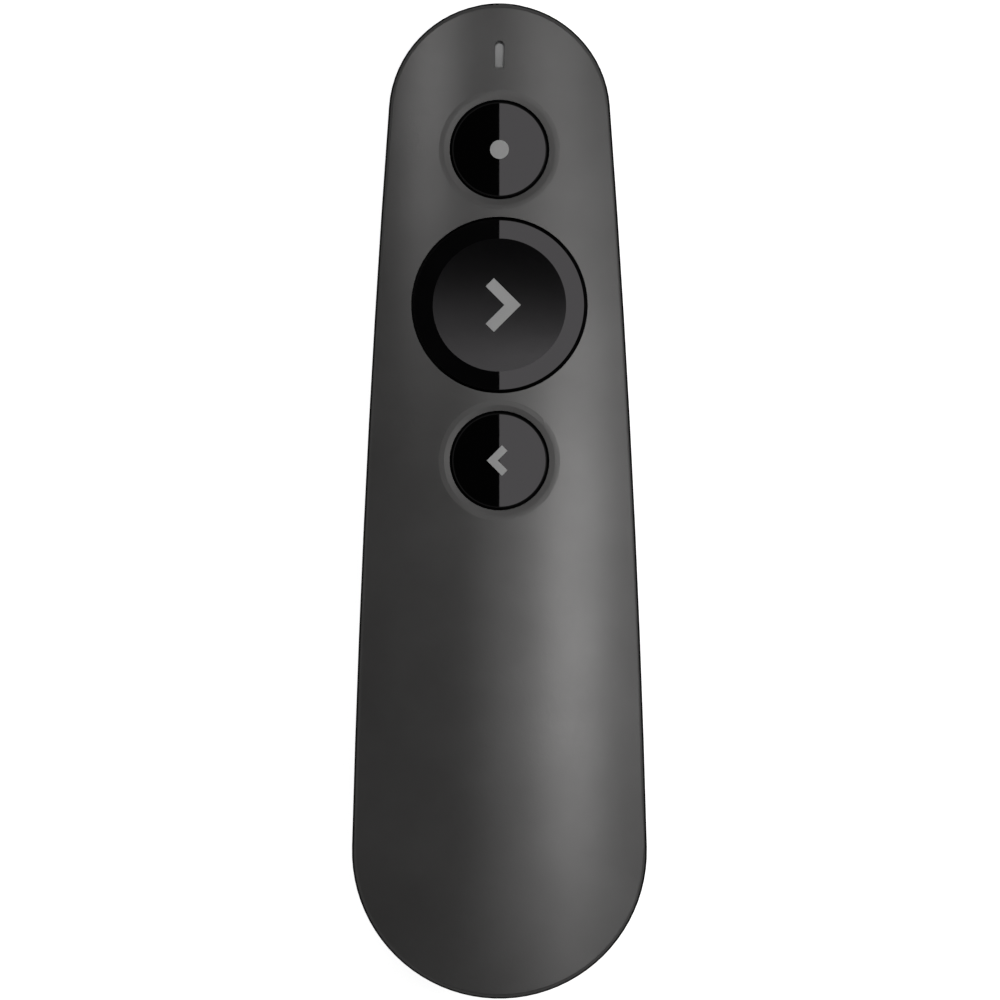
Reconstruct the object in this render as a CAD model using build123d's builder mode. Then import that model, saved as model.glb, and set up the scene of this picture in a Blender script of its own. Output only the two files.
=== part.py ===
"""Wireless presentation clicker: a pebble-shaped handheld with three push buttons.

It lies on its back on a table. +Z is up, out of the buttons, +Y points to the laser head,
and the origin is on the table under the middle of the body. Millimetres. The nose is the
body's end at the laser, and the tail is the end in the palm.
"""

import os
from math import asin, cos, degrees, hypot, sin, sqrt

from build123d import *

os.makedirs("parts", exist_ok=True)

# --- Body form -------------------------------------------------------------------------
body_length = 125.8
body_height = 26.5
head_radius = 14.0  # plan arc of the laser end
tail_radius = 18.65  # plan arc of the palm end
side_radius = 1980.0  # long bowed flanks, tangent to both end arcs
crown_radius = 48.0  # top surface, across the body
arch_radius = 650.0  # top surface, along the body
arch_y = -4.0  # highest point of the top surface
belly_cross_radius = 34.0  # underside, across the body
belly_radius = 330.0  # underside, along the body
belly_y = -10.0  # lowest point of the underside
land_depth = 0.8  # belly cut away to leave the flat it rests on
rim_fillet = 0.45
belly_fillet = 7.0
wall = 1.6

# --- Parting line of the two covers ----------------------------------------------------
split_lift = 2.25  # over the middle of the body's height
seam_chamfer = 0.2
reveal = 0.25  # the bottom cover stands proud of the top cover
lip_height = 1.2
lip_thickness = 0.7
lip_gap = 0.1

# --- Buttons ---------------------------------------------------------------------------
next_inset = 38.15  # from the nose to the middle button
button_pitch = 19.63
small_hole_radius = 6.3
large_hole_radius = 11.15
cap_gap = 0.32
cap_bevel = 0.16
cap_plate = 1.2
cap_skirt = 1.0
ring_width = 1.05  # shallow sunk ring in the cover round the small buttons
ring_bowl_depth = 0.75  # bowl that leaves the ring, measured in its middle
ring_fillet = 3.2  # rolls the ring's edge over into the top surface
collar_width = 1.0
collar_drop = 0.35
flange_gap = 0.1
flange_overlap = 0.75
flange_thickness = 0.8
key_length = 1.1
key_width = 2.0
key_gap = 0.15
key_post = 1.0
stem_radius = 1.5
rib_thickness = 0.8
rib_depth = 0.7
press_travel = 0.4
thumb_dish_radius = 8.45
thumb_dish_depth = 0.9

# --- Button symbols, inlaid flush ------------------------------------------------------
symbol_depth = 0.12
dot_radius = 1.19
next_arrow_height = 6.8
next_arrow_stroke = 1.47
next_arrow_tip = 2.7  # from the button's middle to the point
back_arrow_height = 3.84
back_arrow_stroke = 0.98
back_arrow_tip = 1.6

# --- Battery and its contacts ----------------------------------------------------------
cell_diameter = 10.5
cell_length = 44.5  # over the nub
cell_sleeve = 0.15
nub_radius = 1.9
nub_length = 0.8
cell_gap = 0.1
bay_gap = 2.45  # from the receiver's tray to the battery well
well_gap = 0.35
well_wall = 1.2
well_skirt_z = 3.3  # lowest edge of the walls behind the contacts
spring_length = 5.0
spring_radius = 3.4
spring_turns = 4.5
spring_wire_radius = 0.3
contact_thickness = 0.3
contact_width = 10.6
contact_bottom_z = 3.6
contact_top_z = 12.6
contact_gap = 0.05
tab_width = 2.0
front_tab_x = 4.3  # beside the switches
tab_gap = 0.15
tab_rise = 0.3  # past what it is soldered to
lead_radius = 0.45
lead_bend = 1.0
lead_gap = 0.05
lead_inset = 1.5  # from the board's rear edge

# --- Battery door ----------------------------------------------------------------------
door_thickness = 1.8
door_half_width = 11.0
door_lead = 2.15  # past the battery well
door_screw_lead = 5.0  # past the front case screws
door_top_z = 5.6
door_gap = 0.1
door_travel = 6.0
foam_thickness = 0.6
foam_width = 5.0
foam_length = 26.0
floor_thickness = 1.2
front_hook_inset = 8.0  # from the front case screws
rear_hook_inset = 15.0  # from the rear case screws
hook_x = 9.0
hook_length = 4.0
hook_thickness = 1.0
hook_reach = 0.9
hook_lip = 0.8
tongue_width = 10.0
tongue_length = 0.9
tongue_thickness = 0.8
tongue_z = 1.35
grip_count = 5
grip_pitch = 1.9
grip_width = 0.9
grip_length = 12.0
grip_inset = 15.4  # from the tail
mark_depth = 0.35
arrow_mark_radius = 2.2
arrow_mark_inset = 23.4

# --- Screws, of one size ---------------------------------------------------------------
screw_radius = 0.95
screw_head_radius = 1.6
screw_head_height = 1.1
screw_slot = 0.45
screw_gap = 0.05
boss_radius = 2.0
case_screw_x = 8.9
front_case_screw_inset = 4.85  # from the back button, towards the nose
rear_case_screw_inset = 0.8  # past the rear end of the cell
case_screw_length = 9.0
case_screw_sink = 1.3
case_post_height = 4.8
board_screw_x = 10.5
board_screw_dy = 10.75
board_screw_length = 4.5
strap_screw_x = 5.9
strap_screw_length = 4.0

# --- Circuit board ---------------------------------------------------------------------
board_rise = 1.5  # from the parting line to the underside
board_thickness = 1.0
board_edge_gap = 0.8
board_tail = 14.15  # past the back button
board_front_gap = 0.4  # to the laser barrel
boss_clearance = 0.3
switch_size = 6.0
switch_height = 2.9
plunger_radius = 1.7
plunger_gap = 0.05
plunger_rise = 0.7
plunger_seat = 0.6
radio_size = (5.0, 5.0, 0.9)
radio_place = (3.5, 5.5)  # these places are measured from the board's rear edge
crystal_size = (3.2, 2.5, 0.8)
crystal_place = (-2.0, 4.5)
antenna_size = (7.0, 2.0, 1.0)
antenna_place = (-7.5, 2.5)
coil_size = (5.0, 5.0, 1.4)
coil_place = (0.0, 33.0)
passive_size = (1.6, 0.8, 0.5)
passive_pitch = 2.6
passive_columns = 3  # each side of the middle
passive_inset = 10.05  # from the next button, towards the tail

# --- Laser head ------------------------------------------------------------------------
barrel_radius = 3.0
barrel_bore_radius = 2.3
barrel_length = 9.2
barrel_inset = 3.2  # from the nose
barrel_lip = 0.8
barrel_mouth_radius = 1.2
lens_thickness = 1.4
lens_bulge = 0.5
bore_gap = 0.05
diode_flange = 1.0
diode_cap_radius = 1.8
diode_cap_length = 2.5
diode_inset = 0.1
pin_radius = 0.2
pin_pitch = 1.27
pin_bend = 0.5
pin_inset = 0.8  # from the board's front edge
pin_rise = 0.3
pin_hole_gap = 0.1
aperture_radius = 2.7
bezel_gap = 0.05
bezel_flange_radius = 3.35
bezel_flange_thickness = 0.9
bezel_mouth_radius = 1.45
bezel_flare = 0.7
window_radius = 1.9
window_thickness = 0.8
cradle_gap = 0.03
cradle_half_width = 8.2
cradle_inset = 2.2  # from the barrel's rear end
cradle_length = 3.2
strap_length = 2.4
strap_thickness = 0.4

# --- Status light ----------------------------------------------------------------------
light_slot_inset = 6.5  # from the nose
light_slot_length = 3.5
light_slot_width = 1.2
light_slot_shadow = 0.35  # left free at the slot's round end
guide_gap = 0.04
guide_recess = 0.2
guide_arm_z = 3.5  # underside, over the laser's axis
guide_arm_thickness = 0.8
guide_width = 2.4
guide_shoulder = 0.3
guide_foot_width = 1.0
led_size = (1.6, 0.8, 0.6)
led_inset = 1.8  # from the board's front edge
led_gap = 0.1

# --- USB receiver, stored in the tail --------------------------------------------------
receiver_width = 14.4
receiver_height = 6.3
receiver_length = 18.7
receiver_corner = 0.8
receiver_gap = 0.1
tray_wall = 1.0
tray_end_gap = 1.0
plug_width = 12.0
plug_height = 4.5
plug_length = 12.0
plug_wall = 0.3
plug_seat = 2.0
plug_fit = 0.02
tongue_board_thickness = 1.9
tongue_board_inset = 0.6
pin_strip_width = 1.0
pin_strip_pitch = 2.4
pin_strip_length = 7.5
pin_strip_depth = 0.2
pull_groove_width = 9.0
pull_groove_height = 1.4
pull_groove_depth = 1.6

# --- Worked out from the sizes above ---------------------------------------------------
nose_y = body_length / 2
head_y = nose_y - head_radius
tail_y = tail_radius - nose_y
split_z = body_height / 2 + split_lift
next_y = nose_y - next_inset
laser_button_y = next_y + button_pitch
back_button_y = next_y - button_pitch
laser_z = split_z
cell_radius = cell_diameter / 2
foam_top_z = door_thickness + foam_thickness
cell_z = foam_top_z + cell_gap + cell_radius
well_half = cell_radius + well_gap
well_ceiling_z = cell_z + cell_radius + well_gap
well_top_z = well_ceiling_z + well_wall
floor_z = door_top_z + door_gap
floor_top_z = floor_z + floor_thickness
receiver_z = floor_top_z + receiver_gap
receiver_rear_y = -nose_y
plug_tip_y = receiver_rear_y + receiver_length
plug_root_y = plug_tip_y - plug_length
plug_z = receiver_z + receiver_height / 2
tray_end_y = plug_tip_y + tray_end_gap
tray_top_z = receiver_z + receiver_height + receiver_gap
well_rear_y = tray_end_y + tray_wall + bay_gap + well_wall
contact_rear_y = well_rear_y + contact_gap + contact_thickness
cell_rear_y = contact_rear_y + spring_length + contact_gap
cell_front_y = cell_rear_y + cell_length
cell_y = (cell_rear_y + cell_front_y) / 2
contact_front_y = cell_front_y + contact_gap
well_front_y = contact_front_y + contact_thickness + contact_gap
front_case_screw_y = back_button_y + front_case_screw_inset
rear_case_screw_y = cell_rear_y - rear_case_screw_inset
hook_ys = (rear_case_screw_y + rear_hook_inset, front_case_screw_y - front_hook_inset)
door_front_y = max(well_front_y + well_wall + door_lead, front_case_screw_y + door_screw_lead)
floor_front_y = door_front_y + door_gap + well_wall
board_z = split_z + board_rise
board_top_z = board_z + board_thickness
switch_top_z = board_top_z + switch_height
plunger_top_z = switch_top_z + plunger_rise
case_post_top_z = floor_z + case_post_height
case_boss_z = case_post_top_z + door_gap
strap_z = laser_z + strap_thickness
barrel_front_y = nose_y - barrel_inset
barrel_rear_y = barrel_front_y - barrel_length
cradle_y = barrel_rear_y + cradle_inset
board_front_y = barrel_rear_y - board_front_gap
board_rear_y = back_button_y - board_tail
pin_y = board_front_y - pin_inset
led_y = board_front_y - led_inset
passive_y = next_y - passive_inset
lead_end_y = board_rear_y + lead_inset
light_slot_y = nose_y - light_slot_inset
bezel_rear_y = barrel_front_y + bezel_gap
diode_y = barrel_rear_y + diode_inset
lead_z = well_top_z + lead_gap + lead_radius
case_screw_tip_z = floor_z + case_screw_sink + case_screw_length

board_holes = [(sx * board_screw_x, next_y + sy * board_screw_dy) for sx in (1, -1) for sy in (1, -1)]
case_screw_ys = (rear_case_screw_y, front_case_screw_y)
case_holes = [(sx * case_screw_x, y) for sx in (1, -1) for y in case_screw_ys]
strap_holes = [(sx * strap_screw_x, cradle_y) for sx in (1, -1)]
pin_places = [(n * pin_pitch, pin_y) for n in (-1, 0, 1)]
seam = Plane.XY.offset(split_z)
form_reach = (1.35 * tail_radius, 0.75 * body_length, 2.5 * body_height)
bowl_reach = 1.08  # of the rim's radius
form_sections = 2  # cross-sections each side of the middle one


def side_arc_centre():
    """Distance of the flank arc's centre past the middle plane, and its place along Y."""
    to_head = side_radius - head_radius
    to_tail = side_radius - tail_radius
    y = (to_head**2 - to_tail**2 - head_y**2 + tail_y**2) / (2 * (tail_y - head_y))
    return sqrt(to_head**2 - (y - head_y) ** 2), y


def flank_x(y, inset):
    """Half the plan's width at y on the right flank arc, drawn inward by inset."""
    arc_x, arc_y = side_arc_centre()
    return sqrt((side_radius - inset) ** 2 - (y - arc_y) ** 2) - arc_x


def tangent_point(end_y, inset):
    """Where the right flank meets the end arc centred at end_y."""
    arc_x, arc_y = side_arc_centre()
    reach = (side_radius - inset) / hypot(arc_x, end_y - arc_y)
    return reach * arc_x - arc_x, arc_y + reach * (end_y - arc_y)


def crown_z(x, y, inset=0.0):
    """Height of the top surface over the table, drawn inward by inset."""
    reach = sqrt((crown_radius - inset) ** 2 - x**2) + arch_radius - crown_radius
    return body_height - arch_radius + sqrt(reach**2 - (y - arch_y) ** 2)


def plan(inset):
    """Egg-shaped plan face of four tangent arcs."""
    head_x, head_side_y = tangent_point(head_y, inset)
    tail_x, tail_side_y = tangent_point(tail_y, inset)
    side_y = (head_side_y + tail_side_y) / 2
    side_x = flank_x(side_y, inset)
    with BuildSketch() as face:
        with BuildLine():
            ThreePointArc((head_x, head_side_y), (0, head_y + head_radius - inset), (-head_x, head_side_y))
            ThreePointArc((-head_x, head_side_y), (-side_x, side_y), (-tail_x, tail_side_y))
            ThreePointArc((-tail_x, tail_side_y), (0, tail_y - tail_radius + inset), (tail_x, tail_side_y))
            ThreePointArc((tail_x, tail_side_y), (side_x, side_y), (head_x, head_side_y))
        make_face()
    return face.sketch


def barrel_form(cross_radius, long_radius, y, z, up, half_width, half_length, depth):
    """Solid whose face is curved both ways and touches height z at y; up is 1 or -1."""
    drop = cross_radius - sqrt(cross_radius**2 - half_width**2)
    side, low = long_radius - drop, long_radius - depth
    centre = (0, y, z - up * long_radius)
    half_sweep = asin(half_length / long_radius)
    with BuildPart() as form:
        for n in range(-form_sections, form_sections + 1):
            angle = half_sweep * n / form_sections
            outward = Vector(0, sin(angle), up * cos(angle))
            with BuildSketch(Plane(centre, x_dir=(1, 0, 0), z_dir=Vector(1, 0, 0).cross(outward))):
                with BuildLine():
                    ThreePointArc((-half_width, side), (0, long_radius), (half_width, side))
                    Polyline((half_width, side), (half_width, low), (-half_width, low), (-half_width, side))
                make_face()
        loft()
    return form.part


def crown_form(inset):
    """Everything under the top surface, drawn inward by inset."""
    radii = (crown_radius - inset, arch_radius - inset)
    return barrel_form(*radii, arch_y, body_height - inset, 1, *form_reach)


def belly_form(inset):
    """Everything over the curved underside, drawn inward by inset."""
    radii = (belly_cross_radius - inset, belly_radius - inset)
    return barrel_form(*radii, belly_y, inset - land_depth, -1, *form_reach)


def bowl_form(y, rim_radius, depth):
    """Everything over a bowl sunk in the top surface at y, with a round rim that lies on it."""
    curve = 2 * depth / rim_radius**2
    radii = (1 / (curve - 1 / crown_radius), 1 / (curve - 1 / arch_radius))
    reach = bowl_reach * rim_radius
    bowl = barrel_form(*radii, 0, -depth, -1, reach, reach, 3 * depth)
    lean = degrees(asin((y - arch_y) / arch_radius))
    return bowl.moved(Location((0, y, crown_z(0, y)), (-lean, 0, 0)))


def pebble(inset, side_inset=0.0):
    """The body's solid form, drawn inward by inset on every side, and its flanks by side_inset more."""
    with BuildPart() as form:
        with BuildSketch(Plane.XY.offset(-body_height)):
            add(plan(inset + side_inset))
        extrude(amount=3 * body_height)
        add(crown_form(inset), mode=Mode.INTERSECT)
        add(belly_form(inset), mode=Mode.INTERSECT)
        low_edges = form.edges().filter_by(lambda e: e.bounding_box().max.Z < split_z)
        fillet(low_edges, belly_fillet - inset)
        if inset < rim_fillet:
            high_edges = form.edges().filter_by(lambda e: e.bounding_box().min.Z > split_z)
            fillet(high_edges, rim_fillet - inset)
        split(bisect_by=Plane.XY.offset(inset), keep=Keep.TOP)
    return form.part


def block(low, high, mode=Mode.ADD):
    """Adds or cuts a block, from its lowest to its highest corner."""
    with Locations(low):
        Box(*[b - a for a, b in zip(low, high)], align=Align.MIN, mode=mode)


def posts(places, radius, low, high, mode=Mode.ADD):
    """Adds or cuts upright round posts at places of the plan."""
    with Locations(*[(x, y, low) for x, y in places]):
        Cylinder(radius, high - low, align=(Align.CENTER, Align.CENTER, Align.MIN), mode=mode)


def rod(radius, rear_y, front_y, mode=Mode.ADD, z=laser_z):
    """Adds or cuts a round rod along Y, on the laser's axis unless z says otherwise."""
    with Locations(Location((0, rear_y, z), (-90, 0, 0))):
        Cylinder(radius, front_y - rear_y, align=(Align.CENTER, Align.CENTER, Align.MIN), mode=mode)


def write(part, label):
    """Names a finished piece and writes its STEP file."""
    part.label = label
    export_step(part, f"parts/{label}.step")


def collar_z(y, hole_radius):
    """Flat underside of the collar round a button hole, just under the cover's skin."""
    reach = hole_radius + collar_width
    lowest = min(crown_z(reach, y, wall), crown_z(0, y + reach, wall), crown_z(0, y - reach, wall))
    return lowest - collar_drop


def flange_z(y, hole_radius):
    """Underside of a button's flange at rest."""
    return collar_z(y, hole_radius) - flange_gap - flange_thickness


def light_slot(z, inset, front_inset):
    """Slot face at height z, drawn inward by inset, and by front_inset more at its round end."""
    radius = light_slot_width / 2 - inset
    rear_y = light_slot_y - light_slot_length / 2 + inset
    round_y = light_slot_y + light_slot_length / 2 - inset - front_inset - radius
    with BuildSketch(Plane.XY.offset(z)) as face:
        with Locations((0, round_y)):
            Circle(radius)
            Rectangle(2 * radius, round_y - rear_y, align=(Align.CENTER, Align.MAX))
    return face.sketch


outer_form = pebble(0)
lid_form = pebble(0, reveal)
inner_form = pebble(wall)
door_inner_form = pebble(door_thickness)
mark_form = pebble(mark_depth)
top_surface = crown_form(0)
button_holes = (
    (laser_button_y, small_hole_radius),
    (next_y, large_hole_radius),
    (back_button_y, small_hole_radius),
)


# --- Top cover -------------------------------------------------------------------------
with BuildPart() as top_cavity:
    add(inner_form)
    split(bisect_by=seam, keep=Keep.TOP)
    with BuildSketch(seam):
        add(plan(wall - lip_thickness - lip_gap))
    extrude(amount=lip_height + lip_gap)
    for y, hole_radius in button_holes:
        posts([(0, y)], hole_radius + collar_width, collar_z(y, hole_radius), body_height, Mode.SUBTRACT)
        spread_x = 2 * (hole_radius + collar_width + key_gap) + key_length
        spread_y = key_width + 2 * key_gap + key_post
        with BuildSketch(Plane.XY.offset(flange_z(y, hole_radius))):
            with Locations((0, y)):
                with GridLocations(spread_x, spread_y, 2, 2):
                    Rectangle(key_length, key_post)
        extrude(amount=body_height, mode=Mode.SUBTRACT)
    posts(board_holes, boss_radius, board_top_z, body_height, Mode.SUBTRACT)
    posts(case_holes, boss_radius, split_z, body_height, Mode.SUBTRACT)

with BuildPart() as top_cover:
    add(lid_form)
    split(bisect_by=seam, keep=Keep.TOP)
    chamfer(top_cover.faces().sort_by(Axis.Z)[0].outer_wire().edges(), seam_chamfer)
    for y in (laser_button_y, back_button_y):
        add(bowl_form(y, small_hole_radius + ring_width, ring_bowl_depth), mode=Mode.SUBTRACT)
        fillet(top_cover.edges(Select.LAST), ring_fillet)
    add(top_cavity.part, mode=Mode.SUBTRACT)
    posts(case_holes, boss_radius, case_boss_z, board_z)
    for y, hole_radius in button_holes:
        posts([(0, y)], hole_radius, board_z, body_height, Mode.SUBTRACT)
    posts(board_holes, screw_radius + screw_gap, board_top_z, board_z + board_screw_length, Mode.SUBTRACT)
    posts(case_holes, screw_radius + screw_gap, case_boss_z, case_screw_tip_z + screw_gap, Mode.SUBTRACT)
    extrude(light_slot(split_z, 0, 0), body_height, mode=Mode.SUBTRACT)
    rod(aperture_radius + bezel_gap, barrel_front_y, body_length, Mode.SUBTRACT)

write(top_cover.part, "top_cover")


# --- Bottom cover ----------------------------------------------------------------------
with BuildPart() as bottom_cavity:
    add(inner_form)
    split(bisect_by=seam, keep=Keep.BOTTOM)
    floor_top = (tail_radius, floor_front_y, floor_top_z)
    block((-tail_radius, -body_length, floor_z), floor_top, Mode.SUBTRACT)
    block((-tail_radius, door_front_y + door_gap, 0), floor_top, Mode.SUBTRACT)
    well_corner = (-well_half - well_wall, well_rear_y - well_wall, floor_z)
    block(well_corner, (well_half + well_wall, well_front_y + well_wall, well_top_z), Mode.SUBTRACT)
    tray_half = receiver_width / 2 + receiver_gap + tray_wall
    tray_corner = (-tray_half, -body_length, floor_z)
    block(tray_corner, (tray_half, tray_end_y + tray_wall, tray_top_z + tray_wall), Mode.SUBTRACT)
    posts(case_holes, boss_radius, floor_z, case_post_top_z, Mode.SUBTRACT)
    cradle_corner = (-cradle_half_width, cradle_y - cradle_length / 2, 0)
    block(cradle_corner, (cradle_half_width, cradle_y + cradle_length / 2, body_height), Mode.SUBTRACT)

with BuildPart() as bottom_cover:
    add(outer_form)
    split(bisect_by=seam, keep=Keep.BOTTOM)
    chamfer(bottom_cover.faces().sort_by(Axis.Z)[-1].outer_wire().edges(), seam_chamfer)
    add(bottom_cavity.part, mode=Mode.SUBTRACT)
    with BuildSketch(Plane.XY.offset(split_z - lip_height)):
        add(plan(wall - lip_thickness))
        add(plan(wall), mode=Mode.SUBTRACT)
    extrude(amount=2 * lip_height)
    door_room = door_half_width + door_gap
    block((-door_room, -body_length, -1), (door_room, door_front_y + door_gap, floor_z), Mode.SUBTRACT)
    for rear_y in (well_rear_y - well_wall, well_front_y):
        skirt_corner = (-well_half - well_wall, rear_y, well_skirt_z)
        block(skirt_corner, (well_half + well_wall, rear_y + well_wall, floor_top_z))
    block((-well_half, well_rear_y, 0), (well_half, well_front_y, well_ceiling_z), Mode.SUBTRACT)
    for x, rear_y in ((0, contact_rear_y - contact_thickness), (front_tab_x, contact_front_y)):
        tab_half = tab_width / 2 + tab_gap
        tab_top = (x + tab_half, rear_y + contact_thickness + contact_gap, well_top_z)
        block((x - tab_half, rear_y - contact_gap, well_ceiling_z), tab_top, Mode.SUBTRACT)
    for side in (1, -1):
        for y in hook_ys:
            notch_y = y - door_travel
            neck_outer_x = hook_x + hook_thickness + tab_gap
            neck_x = sorted((side * (hook_x - tab_gap), side * neck_outer_x))
            notch_x = sorted((side * (hook_x - tab_gap), side * (neck_outer_x + hook_reach)))
            reach_y = hook_length / 2 + tab_gap
            notch_top = (notch_x[1], notch_y + reach_y, floor_top_z)
            block((notch_x[0], notch_y - reach_y, floor_z), notch_top, Mode.SUBTRACT)
            block((neck_x[0], notch_y, floor_z), (neck_x[1], y + reach_y, floor_top_z), Mode.SUBTRACT)
    tongue_half = tongue_width / 2 + door_gap
    tongue_corner = (-tongue_half, door_front_y, tongue_z - door_gap)
    tongue_tip_y = door_front_y + tongue_length + 2 * door_gap
    block(tongue_corner, (tongue_half, tongue_tip_y, tongue_z + tongue_thickness + door_gap), Mode.SUBTRACT)
    with BuildSketch(Plane.XZ.offset(body_length)):
        with Locations((0, plug_z)):
            slot_width, slot_height = receiver_width + 2 * receiver_gap, receiver_height + 2 * receiver_gap
            RectangleRounded(slot_width, slot_height, receiver_corner + receiver_gap)
    extrude(amount=-body_length - tray_end_y, mode=Mode.SUBTRACT)
    posts(case_holes, screw_radius + screw_gap, floor_z, case_post_top_z, Mode.SUBTRACT)
    posts(case_holes, screw_head_radius + 2 * screw_gap, floor_z, floor_z + case_screw_sink, Mode.SUBTRACT)
    rod(barrel_radius + cradle_gap, cradle_y - cradle_length, cradle_y + cradle_length, Mode.SUBTRACT)
    posts(strap_holes, screw_radius + screw_gap, strap_z - strap_screw_length, split_z, Mode.SUBTRACT)
    rod(aperture_radius + bezel_gap, barrel_front_y, body_length, Mode.SUBTRACT)

write(bottom_cover.part, "bottom_cover")


# --- Battery door ----------------------------------------------------------------------
with BuildPart() as battery_door:
    add(outer_form)
    block((-body_length, -body_length, door_top_z), (body_length, body_length, body_height), Mode.SUBTRACT)
    add(door_inner_form, mode=Mode.SUBTRACT)
    block((-door_half_width, -body_length, -1), (door_half_width, door_front_y, door_top_z), Mode.INTERSECT)
    tongue_low = (-tongue_width / 2, door_front_y - door_thickness, tongue_z)
    block(tongue_low, (tongue_width / 2, door_front_y + tongue_length, tongue_z + tongue_thickness))
    for side in (1, -1):
        for y in hook_ys:
            rear_y, front_y = y - hook_length / 2, y + hook_length / 2
            neck_x = sorted((side * hook_x, side * (hook_x + hook_thickness)))
            lip_x = sorted((side * hook_x, side * (hook_x + hook_thickness + hook_reach)))
            lip_z = floor_top_z + door_gap
            block((neck_x[0], rear_y, door_thickness), (neck_x[1], front_y, lip_z))
            block((lip_x[0], rear_y, lip_z), (lip_x[1], front_y, lip_z + hook_lip))
    with BuildSketch(Plane.XY.offset(-1)) as grip_plan:
        with Locations((0, grip_inset - nose_y)):
            with GridLocations(grip_length, grip_pitch, 1, grip_count):
                SlotOverall(grip_length, grip_width)
        with Locations((0, arrow_mark_inset - nose_y)):
            RegularPolygon(arrow_mark_radius, 3, rotation=-90)
    grip_cut = extrude(amount=door_top_z, mode=Mode.PRIVATE)
    add(grip_cut - mark_form, mode=Mode.SUBTRACT)

write(battery_door.part, "battery_door")

with BuildPart() as door_foam_pad:
    with BuildSketch():
        with Locations((0, cell_y)):
            Rectangle(foam_width, foam_length)
    extrude(amount=foam_top_z)
    add(door_inner_form, mode=Mode.INTERSECT)

write(door_foam_pad.part, "door_foam_pad")


# --- Buttons, each with its symbol and the plunger of its switch -----------------------
def blank_cap(y, hole_radius, dish_depth):
    """Cap in one piece, before its symbol is let in."""
    low = flange_z(y, hole_radius)
    cap_radius = hole_radius - cap_gap
    skirt_radius = cap_radius - cap_skirt
    flange_radius = hole_radius + flange_overlap
    ceiling_z = min(crown_z(0, y) - dish_depth, crown_z(skirt_radius, y)) - cap_plate
    key_reach = hole_radius + collar_width + key_length
    with BuildPart() as cap:
        posts([(0, y)], cap_radius, low, body_height)
        add(top_surface, mode=Mode.INTERSECT)
        chamfer(cap.edges().group_by(Axis.Z)[-1], cap_bevel)
        posts([(0, y)], flange_radius, low, low + flange_thickness)
        with BuildSketch(Plane.XY.offset(low)):
            with Locations((0, y)):
                Rectangle(2 * key_reach, key_width)
        extrude(amount=flange_thickness)
        posts([(0, y)], skirt_radius, low, ceiling_z, Mode.SUBTRACT)
        posts([(0, y)], stem_radius, plunger_top_z, ceiling_z)
        with BuildSketch(Plane.XY.offset(ceiling_z - rib_depth)):
            with Locations((0, y)):
                Rectangle(2 * skirt_radius, rib_thickness)
                Rectangle(rib_thickness, 2 * skirt_radius)
        extrude(amount=rib_depth)
        if dish_depth:
            add(bowl_form(y, thumb_dish_radius, dish_depth), mode=Mode.SUBTRACT)
    return cap.part


def arrow(height, stroke):
    """Chevron face that points along +X, its point at the middle of the sketch."""
    arm = height / sqrt(2)
    with BuildSketch() as face:
        for turn in (45, -45):
            with Locations((-stroke / sqrt(2), 0)):
                with Locations(Rot(0, 0, turn)):
                    with Locations(((stroke - arm) / 2, 0)):
                        Rectangle(arm, stroke)
    return face.sketch


def inlay(symbol, cap):
    """Symbol cut out of the cap's top skin, ready to be let in flush."""
    with BuildPart() as piece:
        with BuildSketch(Plane.XY.offset(board_top_z)):
            add(symbol)
        extrude(amount=body_height)
        add(cap, mode=Mode.INTERSECT)
        add(cap.moved(Location((0, 0, -symbol_depth))), mode=Mode.SUBTRACT)
    return piece.part


with BuildSketch() as dot_face:
    with Locations((0, laser_button_y)):
        Circle(dot_radius)
with BuildSketch() as next_face:
    with Locations((next_arrow_tip, next_y)):
        add(arrow(next_arrow_height, next_arrow_stroke))
with BuildSketch() as back_face:
    with Locations(Location((-back_arrow_tip, back_button_y, 0), (0, 0, 180))):
        add(arrow(back_arrow_height, back_arrow_stroke))

button_makers = (
    ("laser", laser_button_y, small_hole_radius, 0, dot_face.sketch),
    ("next", next_y, large_hole_radius, thumb_dish_depth, next_face.sketch),
    ("back", back_button_y, small_hole_radius, 0, back_face.sketch),
)
for name, y, hole_radius, dish_depth, symbol_face in button_makers:
    blank = blank_cap(y, hole_radius, dish_depth)
    symbol = inlay(symbol_face, blank)
    with BuildPart() as button:
        add(blank)
        add(symbol, mode=Mode.SUBTRACT)
    write(button.part, f"{name}_button")
    write(symbol, f"{name}_button_symbol")

    with BuildPart() as plunger:
        posts([(0, y)], plunger_radius, switch_top_z - plunger_seat, plunger_top_z)
    write(plunger.part, f"{name}_switch_plunger")

    with BuildPart() as switch_body:
        half = switch_size / 2
        block((-half, y - half, board_top_z), (half, y + half, switch_top_z))
        chamfer(switch_body.edges().filter_by(Axis.Z), seam_chamfer)
        bore_floor_z = switch_top_z - plunger_seat - press_travel - plunger_gap
        posts([(0, y)], plunger_radius + plunger_gap, bore_floor_z, switch_top_z, Mode.SUBTRACT)
    write(switch_body.part, f"{name}_switch_body")


# --- Circuit board and what is soldered to it ------------------------------------------
with BuildPart() as main_board:
    with BuildSketch(Plane.XY.offset(board_z)):
        add(plan(wall + board_edge_gap))
        with Locations((0, (board_front_y + board_rear_y) / 2)):
            Rectangle(2 * tail_radius, board_front_y - board_rear_y, mode=Mode.INTERSECT)
    extrude(amount=board_thickness)
    posts(board_holes, screw_radius + screw_gap, board_z, board_top_z, Mode.SUBTRACT)
    posts(case_holes, boss_radius + boss_clearance, board_z, board_top_z, Mode.SUBTRACT)
    posts(pin_places, pin_radius + pin_hole_gap, board_z, board_top_z, Mode.SUBTRACT)
    tab_half = tab_width / 2 + tab_gap
    tab_top = (front_tab_x + tab_half, contact_front_y + contact_thickness + tab_gap, board_top_z)
    block((front_tab_x - tab_half, contact_front_y - tab_gap, board_z), tab_top, Mode.SUBTRACT)

write(main_board.part, "main_board")


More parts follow.
